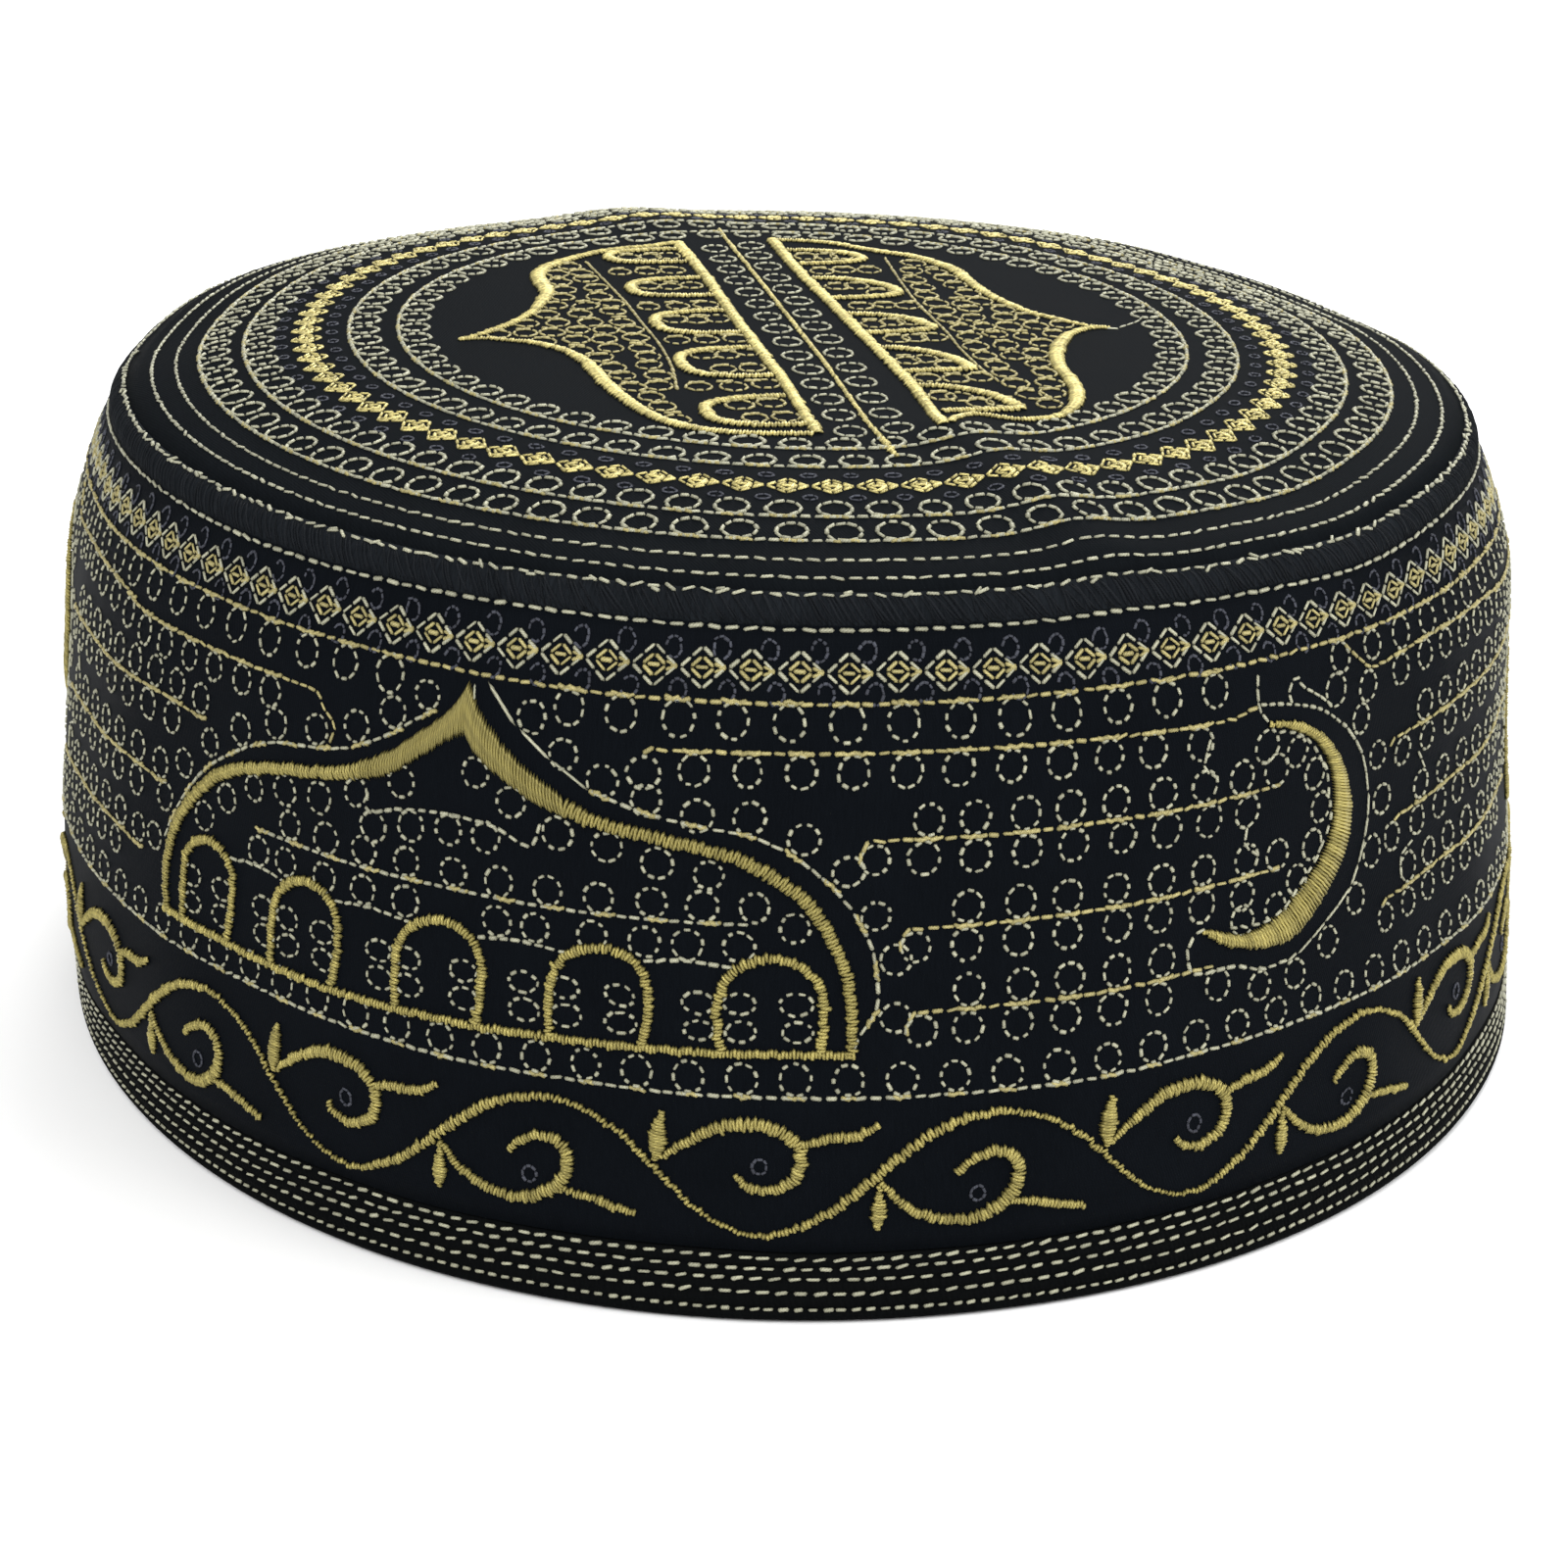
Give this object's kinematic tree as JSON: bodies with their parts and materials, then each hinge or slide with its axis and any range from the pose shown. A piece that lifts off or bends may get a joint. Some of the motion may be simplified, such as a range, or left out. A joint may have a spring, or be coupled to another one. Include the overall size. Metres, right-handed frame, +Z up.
{
  "type": "prayer cap",
  "caption": "Soft oval prayer cap: stiffened cloth wall on a ribbed hem, rolled rim seam and gently domed crown panel, hollow and open below.",
  "frame": {"origin": "on the surface that the cap rests on, at the middle of its lower edge", "axes": "+Z up through the crown, +Y along the long axis of the head towards the back, +X to the right of someone looking at the front"},
  "size_m": [0.1772, 0.1974, 0.0781],
  "materials": {
    "navy_satin": "satin",
    "charcoal_satin": "satin",
    "overcast_thread": "matte",
    "ribbed_cloth": "matte"
  },
  "bodies": {
    "root": {"side_band": "navy_satin", "crown_top": "charcoal_satin", "rim_seam": "overcast_thread", "hem_band": "ribbed_cloth"}
  },
  "joints": []
}
